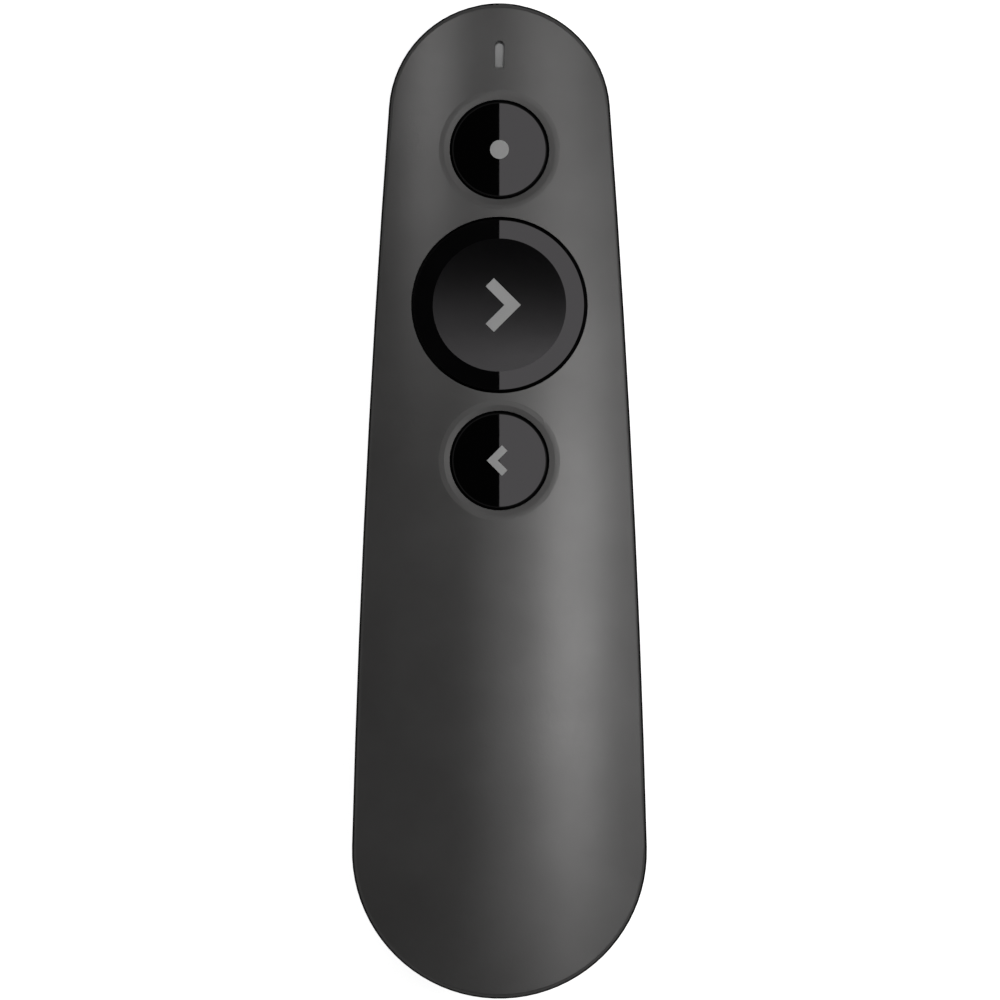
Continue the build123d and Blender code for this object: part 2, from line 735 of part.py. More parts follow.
def chip(size, x, y, low):
    """Adds a component body to the part being built."""
    with Locations((x, y, low)):
        Box(*size, align=(Align.CENTER, Align.CENTER, Align.MIN))


chips = (
    ("radio_chip", radio_size, radio_place, board_top_z),
    ("crystal", crystal_size, crystal_place, board_top_z),
    ("chip_antenna", antenna_size, antenna_place, board_top_z),
    ("boost_coil", coil_size, coil_place, board_z - coil_size[2]),
    ("status_led", led_size, (0, led_y - board_rear_y), board_top_z),
)
for name, size, (x, from_rear), low in chips:
    with BuildPart() as component:
        chip(size, x, board_rear_y + from_rear, low)
    write(component.part, name)

with BuildPart() as chip_passives:
    for column in range(-passive_columns, passive_columns + 1):
        if column:
            chip(passive_size, column * passive_pitch, passive_y, board_z - passive_size[2])

write(chip_passives.part, "chip_passives")


# --- Screws ----------------------------------------------------------------------------
def screw_group(places, seat_z, length, up):
    """Pan-head screws whose heads bear on seat_z; they point up, or down if up is -1."""
    head_z = seat_z - up * screw_head_height
    tip_z = seat_z + up * length
    with BuildPart() as group:
        posts(places, screw_head_radius, min(seat_z, head_z), max(seat_z, head_z))
        posts(places, screw_radius, min(seat_z, tip_z), max(seat_z, tip_z))
        slot_z = head_z + up * screw_slot / 2
        for turn in (0, 90):
            with Locations(*[Location((x, y, slot_z), (0, 0, turn)) for x, y in places]):
                Box(screw_head_radius, screw_slot, screw_slot, mode=Mode.SUBTRACT)
    return group.part


write(screw_group(case_holes, floor_z + case_screw_sink, case_screw_length, 1), "case_screws")
write(screw_group(board_holes, board_z, board_screw_length, 1), "board_screws")
write(screw_group(strap_holes, strap_z, strap_screw_length, -1), "strap_screws")


# --- Battery cell and its contacts -----------------------------------------------------
can_front_y = cell_front_y - nub_length
can_radius = cell_radius - cell_sleeve

with BuildPart() as battery_cell:
    rod(can_radius, cell_rear_y, can_front_y, z=cell_z)
    chamfer(battery_cell.edges(), cell_sleeve)
    rod(nub_radius, can_front_y - nub_length, cell_front_y, z=cell_z)

write(battery_cell.part, "battery_cell")

with BuildPart() as battery_sleeve:
    rod(cell_radius, cell_rear_y + cell_sleeve, can_front_y - cell_sleeve, z=cell_z)
    rod(can_radius, cell_rear_y, can_front_y, Mode.SUBTRACT, z=cell_z)

write(battery_sleeve.part, "battery_sleeve")


def contact(rear_y, tab_x, top_z):
    """Flat sheet contact with a narrow tab at tab_x that rises to top_z."""
    with BuildPart() as plate:
        front_y = rear_y + contact_thickness
        block((-contact_width / 2, rear_y, contact_bottom_z), (contact_width / 2, front_y, contact_top_z))
        tab_corner = (tab_x - tab_width / 2, rear_y, contact_top_z)
        block(tab_corner, (tab_x + tab_width / 2, front_y, top_z))
    return plate.part


negative_tab_z = lead_z + lead_radius + tab_rise
write(contact(contact_rear_y - contact_thickness, 0, negative_tab_z), "negative_contact")
write(contact(contact_front_y, front_tab_x, board_top_z + tab_rise), "positive_contact")

with BuildPart() as negative_spring:
    with BuildLine() as coil:
        coil_height = spring_length - 2 * spring_wire_radius
        coil_pitch = coil_height / spring_turns
        coil_start = (0, contact_rear_y + spring_wire_radius, cell_z)
        Helix(coil_pitch, coil_height, spring_radius, center=coil_start, direction=(0, 1, 0))
    with BuildSketch(Plane(coil.line @ 0, z_dir=coil.line % 0)):
        Circle(spring_wire_radius)
    sweep(is_frenet=True)

write(negative_spring.part, "negative_spring")

with BuildPart() as negative_lead:
    with BuildLine() as lead_path:
        lead_corner = (0, lead_end_y, lead_z)
        FilletPolyline((0, contact_rear_y, lead_z), lead_corner, (0, lead_end_y, board_z), radius=lead_bend)
    with BuildSketch(Plane.XZ.offset(-contact_rear_y)):
        with Locations((0, lead_z)):
            Circle(lead_radius)
    sweep()

write(negative_lead.part, "negative_lead")


# --- Laser head ------------------------------------------------------------------------
with BuildPart() as laser_barrel:
    rod(barrel_radius, barrel_rear_y, barrel_front_y)
    rod(barrel_bore_radius, barrel_rear_y, barrel_front_y - barrel_lip, Mode.SUBTRACT)
    rod(barrel_mouth_radius, barrel_rear_y, barrel_front_y, Mode.SUBTRACT)

write(laser_barrel.part, "laser_barrel")

lens_radius = barrel_bore_radius - bore_gap
lens_front_y = barrel_front_y - barrel_lip
lens_rear_y = lens_front_y - lens_thickness
with BuildPart() as laser_lens:
    rod(lens_radius, lens_rear_y, lens_front_y)
    bulge_radius = (lens_radius**2 + lens_bulge**2) / (2 * lens_bulge)
    with Locations((0, lens_rear_y + bulge_radius, laser_z)):
        Sphere(bulge_radius, mode=Mode.INTERSECT)

write(laser_lens.part, "laser_lens")

with BuildPart() as laser_diode:
    rod(lens_radius, diode_y, diode_y + diode_flange)
    rod(diode_cap_radius, diode_y, diode_y + diode_flange + diode_cap_length)

write(laser_diode.part, "laser_diode")

with BuildPart() as laser_pins:
    for x, y in pin_places:
        with BuildLine() as pin_path:
            pin_tip = (x, y, board_top_z + pin_rise)
            FilletPolyline((x, diode_y, laser_z), (x, y, laser_z), pin_tip, radius=pin_bend)
        with BuildSketch(Plane.XZ.offset(-diode_y)):
            with Locations((x, laser_z)):
                Circle(pin_radius)
        sweep(path=pin_path.line)

write(laser_pins.part, "laser_pins")

with BuildPart() as laser_bezel:
    rod(bezel_flange_radius, bezel_rear_y, bezel_rear_y + bezel_flange_thickness)
    rod(aperture_radius, bezel_rear_y, body_length)
    add(outer_form, mode=Mode.INTERSECT)
    rod(window_radius + bezel_gap, bezel_rear_y, bezel_rear_y + window_thickness + bezel_gap, Mode.SUBTRACT)
    rod(bezel_mouth_radius, bezel_rear_y, body_length, Mode.SUBTRACT)
    with Locations(Location((0, nose_y, laser_z), (-90, 0, 0))):
        flare_radius = bezel_mouth_radius + bezel_flare
        flare_align = (Align.CENTER, Align.CENTER, Align.MAX)
        Cone(bezel_mouth_radius, flare_radius, bezel_flare, align=flare_align, mode=Mode.SUBTRACT)

write(laser_bezel.part, "laser_bezel")

with BuildPart() as laser_window:
    rod(window_radius, bezel_rear_y, bezel_rear_y + window_thickness)

write(laser_window.part, "laser_window")

strap_inner_radius = barrel_radius + cradle_gap
with BuildPart() as laser_strap:
    with BuildSketch(Plane.XZ.offset(-cradle_y - strap_length / 2)):
        with Locations((0, laser_z)):
            Circle(strap_inner_radius + strap_thickness)
            Rectangle(2 * cradle_half_width, strap_thickness, align=(Align.CENTER, Align.MIN))
            Circle(strap_inner_radius, mode=Mode.SUBTRACT)
            Rectangle(2 * body_height, body_height, align=(Align.CENTER, Align.MAX), mode=Mode.SUBTRACT)
    extrude(amount=strap_length)
    posts(strap_holes, screw_radius + screw_gap, laser_z, strap_z, Mode.SUBTRACT)

write(laser_strap.part, "laser_strap")


# --- Light guide, from the LED over the laser to the slot in the top cover -------------
with BuildPart() as light_guide:
    half = guide_width / 2
    arm_z = laser_z + guide_arm_z
    arm_top_z = arm_z + guide_arm_thickness
    slot_reach = light_slot_length / 2
    guide_front_y = light_slot_y + slot_reach + guide_shoulder
    foot_rear_y, foot_front_y = led_y - guide_foot_width / 2, led_y + guide_foot_width / 2
    block((-half, foot_rear_y, board_top_z + led_size[2] + led_gap), (half, foot_front_y, arm_z))
    block((-half, foot_rear_y, arm_z), (half, guide_front_y, arm_top_z))
    shoulder_z = crown_z(half, guide_front_y, wall) - guide_gap
    block((-half, light_slot_y - slot_reach - guide_shoulder, arm_z), (half, guide_front_y, shoulder_z))
    window_height = crown_z(0, light_slot_y + slot_reach) - guide_recess - arm_z
    extrude(light_slot(arm_z, guide_gap, light_slot_shadow), window_height)

write(light_guide.part, "light_guide")


# --- USB receiver ----------------------------------------------------------------------
plug_rear_y = plug_root_y - plug_seat
pin_strip_xs = [(n - 1.5) * pin_strip_pitch for n in range(4)]
tongue_half_width = plug_width / 2 - plug_wall - bore_gap
tongue_floor_z = plug_z - plug_height / 2 + plug_wall + bore_gap
tongue_top_z = tongue_floor_z + tongue_board_thickness


def plug_profile(y, width, height, radius=0.0):
    """Rectangle across the plug at y, its corners rounded if a radius is given."""
    with BuildSketch(Plane.XZ.offset(-y)) as face:
        with Locations((0, plug_z)):
            if radius:
                RectangleRounded(width, height, radius)
            else:
                Rectangle(width, height)
    return face.sketch


with BuildPart() as receiver_cap:
    grip = plug_profile(plug_root_y, receiver_width, receiver_height, receiver_corner)
    extrude(grip, plug_root_y - receiver_rear_y)
    add(outer_form, mode=Mode.INTERSECT)
    pocket = plug_profile(plug_root_y, plug_width + 2 * plug_fit, plug_height + 2 * plug_fit)
    extrude(pocket, plug_seat, mode=Mode.SUBTRACT)
    groove = plug_profile(receiver_rear_y + pull_groove_depth, pull_groove_width, pull_groove_height)
    extrude(groove, pull_groove_depth, mode=Mode.SUBTRACT)

write(receiver_cap.part, "receiver_cap")

with BuildPart() as receiver_plug_shell:
    extrude(plug_profile(plug_tip_y, plug_width, plug_height), plug_length + plug_seat)
    bore = plug_profile(plug_tip_y, plug_width - 2 * plug_wall, plug_height - 2 * plug_wall)
    extrude(bore, plug_length + plug_seat, mode=Mode.SUBTRACT)

write(receiver_plug_shell.part, "receiver_plug_shell")

with BuildPart() as receiver_contacts:
    strip_front_y = plug_tip_y - 2 * tongue_board_inset
    for x in pin_strip_xs:
        strip_rear_y = strip_front_y - pin_strip_length
        strip_low = (x - pin_strip_width / 2, strip_rear_y, tongue_top_z - pin_strip_depth)
        block(strip_low, (x + pin_strip_width / 2, strip_front_y, tongue_top_z))

write(receiver_contacts.part, "receiver_contacts")

with BuildPart() as receiver_tongue:
    tongue_low = (-tongue_half_width, plug_rear_y, tongue_floor_z)
    block(tongue_low, (tongue_half_width, plug_tip_y - tongue_board_inset, tongue_top_z))
    add(receiver_contacts.part, mode=Mode.SUBTRACT)

write(receiver_tongue.part, "receiver_tongue")
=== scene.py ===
# %% [markdown]
# # A presentation clicker, dressed
#
# The object is a pebble-shaped presentation clicker that lies on its back on a table.
# Its solids come from CAD, in metres, with +Z out of the buttons and +Y at the laser end.
# Blender gives them their finishes here, and a camera, a table and lamps to show them.

# %% Load the frame
import math

import bmesh
import bpy
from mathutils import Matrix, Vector


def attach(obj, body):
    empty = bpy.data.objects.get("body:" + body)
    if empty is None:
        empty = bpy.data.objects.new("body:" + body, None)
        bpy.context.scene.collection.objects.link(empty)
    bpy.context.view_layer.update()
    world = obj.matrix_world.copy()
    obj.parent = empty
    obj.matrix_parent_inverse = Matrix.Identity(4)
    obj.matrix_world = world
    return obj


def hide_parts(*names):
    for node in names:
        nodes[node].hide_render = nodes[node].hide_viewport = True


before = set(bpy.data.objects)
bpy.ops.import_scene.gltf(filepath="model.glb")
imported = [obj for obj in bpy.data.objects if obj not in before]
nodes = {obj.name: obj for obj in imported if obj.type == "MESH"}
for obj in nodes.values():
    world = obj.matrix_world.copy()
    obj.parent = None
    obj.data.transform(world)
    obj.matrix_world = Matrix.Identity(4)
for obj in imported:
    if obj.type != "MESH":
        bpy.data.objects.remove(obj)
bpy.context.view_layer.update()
print("pieces of the frame:", len(nodes))

# %% [markdown]
# ## The camera
#
# The clicker is seen from straight above, with its laser end at the top of the picture.
# A wide lens close by would splay the sides of the body, so the camera stands six metres
# away behind a very long lens. Its view is then nearly parallel, as in a catalogue.
# The field of view is worked out from the width that has to fit in the square frame.

# %% Set up the camera
VIEW_WIDTH = 0.12639
VIEW_CENTRE = (0.00007, 0.00014)
CAMERA_HEIGHT = 6.0
BODY_MIDDLE = (0.0, 0.0, 0.016)

camera_data = bpy.data.cameras.new("camera")
camera_data.sensor_width = 36.0
camera_data.lens = camera_data.sensor_width * (CAMERA_HEIGHT - BODY_MIDDLE[2]) / VIEW_WIDTH
camera_data.clip_end = 50.0
camera = bpy.data.objects.new("camera", camera_data)
camera.location = (*VIEW_CENTRE, CAMERA_HEIGHT)
bpy.context.scene.collection.objects.link(camera)
bpy.context.scene.camera = camera
print("lens, mm:", round(camera_data.lens, 1))

# %% [markdown]
# ## The floor
#
# The clicker lies on a white table that has no edge in the picture. It only has to be
# large and flat, which makes a grid the right tool. The grid has many cells, because a
# ray meets a very large face with an error that grows with the face. On a single face of
# thirty metres that error nears the tenth of a millimetre that is left under the body.
# Glossy rays pass the table by, or the polished pieces would mirror it.

# %% Lay the floor
FLOOR_SIZE = 30.0
FLOOR_CELLS = 100
FLOOR_DROP = 0.0001

floor_mesh = bpy.data.meshes.new("floor")
shape = bmesh.new()
bmesh.ops.create_grid(
    shape, x_segments=FLOOR_CELLS, y_segments=FLOOR_CELLS, size=FLOOR_SIZE / 2
)
bmesh.ops.translate(shape, vec=(0.0, 0.0, -FLOOR_DROP), verts=shape.verts)
shape.to_mesh(floor_mesh)
shape.free()
floor = bpy.data.objects.new("floor", floor_mesh)
bpy.context.scene.collection.objects.link(floor)
floor.visible_glossy = False
print("floor of", len(floor_mesh.polygons), "cells,", FLOOR_DROP * 1000, "mm under the body")

# %% [markdown]
# A white diffuse sheet alone would turn grey beside the body, where the lamps are hidden,
# so the sheet also glows, as a light table does. The camera sees the full glow, and the
# body gets less of it, or its lower edge would be lit from below. From underneath the
# sheet is clear, as a glass table would be, so that the underside can be looked at too.

# %% Paint the floor
FLOOR_WHITE = (0.9, 0.9, 0.9, 1.0)
FLOOR_GLOW = 0.9
FLOOR_BOUNCE = 0.4


def shader_of(material):
    """The shader that a material starts with."""
    return material.node_tree.nodes["Principled BSDF"]


floor_paint = bpy.data.materials.new("floor_paint")
floor_paint.use_nodes = True
floor_tree = floor_paint.node_tree
floor_shader = shader_of(floor_paint)
floor_shader.inputs["Base Color"].default_value = FLOOR_WHITE
floor_shader.inputs["Roughness"].default_value = 0.9
floor_shader.inputs["Emission Color"].default_value = (1.0, 1.0, 1.0, 1.0)
floor_rays = floor_tree.nodes.new("ShaderNodeLightPath").outputs["Is Camera Ray"]
floor_glow = floor_tree.nodes.new("ShaderNodeMix")
floor_glow.inputs["A"].default_value = FLOOR_BOUNCE
floor_glow.inputs["B"].default_value = FLOOR_GLOW
floor_tree.links.new(floor_rays, floor_glow.inputs["Factor"])
floor_tree.links.new(floor_glow.outputs["Result"], floor_shader.inputs["Emission Strength"])
underside = floor_tree.nodes.new("ShaderNodeNewGeometry").outputs["Backfacing"]
see_through = floor_tree.nodes.new("ShaderNodeBsdfTransparent")
floor_sides = floor_tree.nodes.new("ShaderNodeMixShader")
floor_surface = floor_tree.nodes["Material Output"].inputs["Surface"]
floor_tree.links.new(underside, floor_sides.inputs[0])
floor_tree.links.new(floor_shader.outputs["BSDF"], floor_sides.inputs[1])
floor_tree.links.new(see_through.outputs["BSDF"], floor_sides.inputs[2])
floor_tree.links.new(floor_sides.outputs["Shader"], floor_surface)
floor_mesh.materials.append(floor_paint)
print("glow for the camera", FLOOR_GLOW, "and for the body", FLOOR_BOUNCE)

# %% [markdown]
# ## The lamps
#
# Four softboxes hang close over the clicker. The key lamp and the long strip, both to the
# right, make the broad highlight along the flank. The other two hang beyond the laser end
# and light the left and the right of the head.
# A lamp that is close seems to slide along the body from one end to the other, so its
# highlight fades towards the ends, as it would not under a distant one.
# A highlight depends on the direction that its lamp is seen in, so each lamp is given by
# degrees to the right and degrees towards the laser end, and then by its distance, width,
# length and power.

# %% Hang the lamps
SOFTBOXES = (
    ("key_lamp", 23.5, -4.0, 0.32, 0.12, 0.10, 0.136),
    ("strip_lamp", 35.5, 1.0, 0.36, 0.24, 0.60, 0.42),
    ("head_lamp", -22.0, 22.0, 0.32, 0.10, 0.06, 0.065),
    ("brow_lamp", 16.0, 25.0, 0.32, 0.12, 0.06, 0.045),
)


def softbox(name, right, up, distance, width, length, power):
    """Area lamp seen from the middle of the body in a direction given in degrees."""
    lamp = bpy.data.lights.new(name, "AREA")
    lamp.shape = "RECTANGLE"
    lamp.size = width
    lamp.size_y = length
    lamp.energy = power
    lamp_object = bpy.data.objects.new(name, lamp)
    aim = Vector((math.tan(math.radians(right)), math.tan(math.radians(up)), 1.0)).normalized()
    lamp_object.location = Vector(BODY_MIDDLE) + distance * aim
    lamp_object.rotation_euler = aim.to_track_quat("Z", "Y").to_euler()
    bpy.context.scene.collection.objects.link(lamp_object)
    return lamp_object


softboxes = [softbox(*values) for values in SOFTBOXES]
print("softboxes:", ", ".join(lamp_object.name for lamp_object in softboxes))

# %% [markdown]
# A glossy black cap shows whatever hangs above it. A large grey panel whose edge is
# straight over the middle line is mirrored in the right half of a small cap and leaves
# the left half black. The large cap has a panel of its own that starts further out, so
# that the far side of the thumb dish, which leans back, sees past it. The near side of
# the dish leans the other way, and a third panel, too far out for the flat rim of the
# cap to mirror, lights that side from edge to edge.
# A panel is given by its glow, and gets the power that its area needs for it. Its light
# is slightly short of green, so the mirrored halves are a cool grey.

# %% Hang the panels
PANEL_HEIGHT = 0.8
PANEL_TINT = (1.0, 0.965, 1.0)
PANEL_GLOW = 1.65
DISH_GLOW = 6.4


def overhead_panel(name, reach, ends, glow):
    """Level panel between two X and two Y places, facing down."""
    panel_light = bpy.data.lights.new(name, "AREA")
    panel_light.shape = "RECTANGLE"
    panel_light.size = reach[1] - reach[0]
    panel_light.size_y = ends[1] - ends[0]
    panel_light.energy = glow * math.pi * panel_light.size * panel_light.size_y
    panel_light.color = PANEL_TINT
    panel_object = bpy.data.objects.new(name, panel_light)
    panel_object.location = (sum(reach) / 2, sum(ends) / 2, PANEL_HEIGHT)
    bpy.context.scene.collection.objects.link(panel_object)
    print(name, "power, W:", round(panel_light.energy, 2))
    return panel_object


cap_panel = overhead_panel("cap_panel", (0.0, 0.47), (-0.014, 0.30), PANEL_GLOW)
rim_panel = overhead_panel("rim_panel", (0.0, 0.47), (0.054, 0.56), PANEL_GLOW)
dish_panel = overhead_panel("dish_panel", (-0.42, 0.42), (0.28, 0.60), DISH_GLOW)

# %% [markdown]
# The ceiling round the lamps is dark, or it would be mirrored in the black halves of the
# caps. Lower down the room is paler, because the rounded rim of the cover looks at the
# walls and would be a black band if they were black too. The camera alone sees the whole
# room white, so that the background stays pale in a view from the side.
# A world shader's Generated vector is the direction looked in, so its Z tells the height:
# 1 overhead, 0 on the horizon and -1 underfoot. The ramp lists how bright the room is
# from underfoot to overhead.

# %% Paint the room
ROOM_GLOWS = (
    (-1.0, 0.0),
    (-0.85, 0.0),
    (-0.65, 0.14),
    (0.0, 0.18),
    (0.05, 0.24),
    (0.50, 0.24),
    (0.68, 0.01),
    (1.0, 0.01),
)


def link_ramp(tree, value, stops):
    """Colour from a ramp fed by value, with (position, colour) stops."""
    ramp = tree.nodes.new("ShaderNodeValToRGB")
    first, last = ramp.color_ramp.elements
    first.position, first.color = stops[0][0], (*stops[0][1], 1.0)
    last.position, last.color = stops[-1][0], (*stops[-1][1], 1.0)
    for position, colour in stops[1:-1]:
        ramp.color_ramp.elements.new(position).color = (*colour, 1.0)
    tree.links.new(value, ramp.inputs["Fac"])
    return ramp.outputs["Color"]


def link_range(tree, value, source, target):
    """Value carried over from the range source to the range target."""
    scale = tree.nodes.new("ShaderNodeMapRange")
    scale.inputs["From Min"].default_value, scale.inputs["From Max"].default_value = source
    scale.inputs["To Min"].default_value, scale.inputs["To Max"].default_value = target
    tree.links.new(value, scale.inputs["Value"])
    return scale.outputs["Result"]


room = bpy.data.worlds.new("room")
room.use_nodes = True
room_tree = room.node_tree
background = room_tree.nodes["Background"]
direction = room_tree.nodes.new("ShaderNodeTexCoord").outputs["Generated"]
height = room_tree.nodes.new("ShaderNodeSeparateXYZ")
room_tree.links.new(direction, height.inputs["Vector"])
share = link_range(room_tree, height.outputs["Z"], (-1.0, 1.0), (0.0, 1.0))
room_stops = [((level + 1.0) / 2, (glow, glow, glow)) for level, glow in ROOM_GLOWS]
room_glow = link_ramp(room_tree, share, room_stops)
ray_kind = room_tree.nodes.new("ShaderNodeLightPath")
room_colour = room_tree.nodes.new("ShaderNodeMix")
room_colour.data_type = "RGBA"
room_colour.inputs["B"].default_value = (1.0, 1.0, 1.0, 1.0)
room_tree.links.new(ray_kind.outputs["Is Camera Ray"], room_colour.inputs["Factor"])
room_tree.links.new(room_glow, room_colour.inputs["A"])
room_tree.links.new(room_colour.outputs["Result"], background.inputs["Color"])
background.inputs["Strength"].default_value = 1.0
bpy.context.scene.world = room
bpy.context.scene.view_settings.view_transform = "Standard"
print("stops in the ramp of the room:", len(room_stops))

# %% [markdown]
# ## A moulded or painted finish
#
# No moulding has one even colour. Under a lens its skin is a field of fine grains that
# tip the light a little, with patches that are slightly lighter or rougher. One recipe
# makes most of the finishes here: a coarse noise for the patches, a fine noise for the
# grain, and both on Object coordinates, which are the real metres of the piece. So a
# grain of a tenth of a millimetre is one on every piece, whatever its size.
# A noise seldom leaves the middle of its range, so that part alone is spread over the
# colours and the roughness.

# %% Write the recipe for a finish
NOISE_MIDDLE = (0.3, 0.7)
PATCH_DETAIL = 3.0
GRAIN_DETAIL = 2.0
GRAIN_STRENGTH = 0.5


def link_noise(tree, coordinates, grain, detail):
    """Noise with features about grain metres across."""
    noise = tree.nodes.new("ShaderNodeTexNoise")
    noise.inputs["Scale"].default_value = 1.0 / grain
    noise.inputs["Detail"].default_value = detail
    tree.links.new(coordinates, noise.inputs["Vector"])
    return noise.outputs["Fac"]


def link_bump(tree, height, relief, strength):
    """Normal tipped by a height whose full range is relief metres."""
    bump = tree.nodes.new("ShaderNodeBump")
    bump.inputs["Strength"].default_value = strength
    bump.inputs["Distance"].default_value = relief
    tree.links.new(height, bump.inputs["Height"])
    return bump.outputs["Normal"]


def finish(name, dark, light, roughness, patch=0.006, grain=0.0002, relief=1e-5, metallic=0.0):
    """Material with patches between two colours, a range of roughness and a fine grain."""
    material = bpy.data.materials.new(name)
    material.use_nodes = True
    tree = material.node_tree
    shader = shader_of(material)
    shader.inputs["Metallic"].default_value = metallic
    coordinates = tree.nodes.new("ShaderNodeTexCoord").outputs["Object"]
    patches = link_noise(tree, coordinates, patch, PATCH_DETAIL)
    grains = link_noise(tree, coordinates, grain, GRAIN_DETAIL)
    colour = link_ramp(tree, patches, list(zip(NOISE_MIDDLE, (dark, light))))
    rough = link_range(tree, grains, NOISE_MIDDLE, roughness)
    tipped = link_bump(tree, grains, relief, GRAIN_STRENGTH)
    tree.links.new(colour, shader.inputs["Base Color"])
    tree.links.new(rough, shader.inputs["Roughness"])
    tree.links.new(tipped, shader.inputs["Normal"])
    return material


def dress(material, *names):
    """Gives CAD pieces a finish through their objects' own slots."""
    for name in names:
        for slot in nodes[name].material_slots:
            slot.material = material
    print(material.name, "on", ", ".join(names))


print("the noise between", *NOISE_MIDDLE, "is spread over a finish")

# %% [markdown]
# ## The graphite skin of the top cover
#
# The cover is sprayed with a graphite lacquer: a dark binder full of fine metal flakes
# that mostly lie flat. Such a paint is half a metal, so it takes a Metallic value
# between the two ends, and it keeps a broad soft highlight. The flakes are the fine noise
# in the roughness and the bump.

# %% Mix the graphite lacquer
graphite = finish(
    "graphite_lacquer",
    dark=(0.100, 0.098, 0.097),
    light=(0.116, 0.114, 0.113),
    roughness=(0.28, 0.33),
    patch=0.009,
    grain=0.00028,
    relief=9e-6,
    metallic=0.4,
)
print("mixed", graphite.name)

# %% [markdown]
# ## Exact shading for the crowned skins
#
# The top of the body is a barrel: an arc of 48 mm radius across it, swept along an arc
# of 650 mm. The frame's triangles follow that shape to a few hundredths of a millimetre,
# but a mirror-like cap shows even a slight wobble of their normals. More triangles would
# help little. The formula of the barrel is known, so the better way is to copy the mesh
# and give each corner on the crown the normal that the formula has there.

# %% Shade the crown by its formula
CROWN_RADIUS = 0.048
ARCH_RADIUS = 0.650
ARCH_Y = -0.004
BODY_HEIGHT = 0.0265
ON_CROWN = 0.00004
ALONG_CROWN = 0.999


def crown_height(x, y):
    """Height of the top surface over the table."""
    reach = math.sqrt(CROWN_RADIUS**2 - x**2) + ARCH_RADIUS - CROWN_RADIUS
    return BODY_HEIGHT - ARCH_RADIUS + math.sqrt(reach**2 - (y - ARCH_Y) ** 2)


def crown_normal(x, y):
    """Direction in which the top surface faces."""
    across = math.sqrt(CROWN_RADIUS**2 - x**2)
    reach = across + ARCH_RADIUS - CROWN_RADIUS
    along = math.sqrt(reach**2 - (y - ARCH_Y) ** 2)
    return Vector((x * reach / (across * along), (y - ARCH_Y) / along, 1.0)).normalized()


def crowned_copy(name, body, material):
    """Copy of a CAD piece whose crown is shaded by the formula; it stands for that piece."""
    mesh = nodes[name].data.copy()
    normals = [Vector(corner.vector) for corner in mesh.corner_normals]
    mended = 0
    for face in mesh.polygons:
        if face.normal.dot(crown_normal(face.center.x, face.center.y)) < ALONG_CROWN:
            continue
        for index in face.loop_indices:
            x, y, z = mesh.vertices[mesh.loops[index].vertex_index].co
            if abs(z - crown_height(x, y)) < ON_CROWN:
                normals[index] = crown_normal(x, y)
                mended += 1
    mesh.normals_split_custom_set(normals)
    mesh.materials.clear()
    mesh.materials.append(material)
    piece = bpy.data.objects.new(name + "_skin", mesh)
    mesh.name = piece.name
    bpy.context.scene.collection.objects.link(piece)
    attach(piece, body)
    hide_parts(name)
    print(piece.name, "corners shaded by the formula:", mended)
    return piece


crowned_copy("top_cover", "handset", graphite)

# %% [markdown]
# ## Piano-black caps
#
# The three caps are moulded in a polished mould, so they are black glass to the eye:
# hardly any colour of their own and a very low roughness. Only the flange that holds a
# cap in the cover is left as it came from the machine, and distance from the middle of
# the cap tells it apart.

# %% Mix the black of the caps
NEXT_Y = 0.02475
BUTTON_PITCH = 0.01963
SMALL_CAP_RADIUS = 0.00598
LARGE_CAP_RADIUS = 0.01083
MASK_EDGE = 0.00003
FLANGE_ROUGHNESS = 0.9
CAP_BLACKS = ((0.0012, 0.0012, 0.0013), (0.0018, 0.0018, 0.0019))


def object_place(tree):
    """Object coordinates that a finish already reads."""
    return next(node for node in tree.nodes if node.type == "TEX_COORD").outputs["Object"]


def link_distance(tree, coordinates, middle_y):
    """Distance from the axis of a button."""
    centre = tree.nodes.new("ShaderNodeVectorMath")
    centre.operation = "SUBTRACT"
    centre.inputs[1].default_value = (0.0, middle_y, 0.0)
    flatten = tree.nodes.new("ShaderNodeVectorMath")
    flatten.operation = "MULTIPLY"
    flatten.inputs[1].default_value = (1.0, 1.0, 0.0)
    distance = tree.nodes.new("ShaderNodeVectorMath")
    distance.operation = "LENGTH"
    tree.links.new(coordinates, centre.inputs[0])
    tree.links.new(centre.outputs["Vector"], flatten.inputs[0])
    tree.links.new(flatten.outputs["Vector"], distance.inputs[0])
    return distance.outputs["Value"]


def cap_black(name, middle_y, cap_radius):
    """Polished black cap with a matt flange."""
    material = finish(name, *CAP_BLACKS, roughness=(0.02, 0.03), relief=2e-7)
    tree = material.node_tree
    rough_socket = shader_of(material).inputs["Roughness"]
    distance = link_distance(tree, object_place(tree), middle_y)
    edge = (cap_radius - MASK_EDGE, cap_radius + MASK_EDGE)
    flange = link_range(tree, distance, edge, (0.0, 1.0))
    blend = tree.nodes.new("ShaderNodeMix")
    blend.inputs["B"].default_value = FLANGE_ROUGHNESS
    tree.links.new(flange, blend.inputs["Factor"])
    tree.links.new(rough_socket.links[0].from_socket, blend.inputs["A"])
    tree.links.new(blend.outputs["Result"], rough_socket)
    return material


laser_black = cap_black("laser_black", NEXT_Y + BUTTON_PITCH, SMALL_CAP_RADIUS)
next_black = cap_black("next_black", NEXT_Y, LARGE_CAP_RADIUS)
back_black = cap_black("back_black", NEXT_Y - BUTTON_PITCH, SMALL_CAP_RADIUS)
laser_cap = crowned_copy("laser_button", "laser_key", laser_black)
next_cap = crowned_copy("next_button", "next_key", next_black)
back_cap = crowned_copy("back_button", "back_key", back_black)
caps = [laser_cap, next_cap, back_cap]

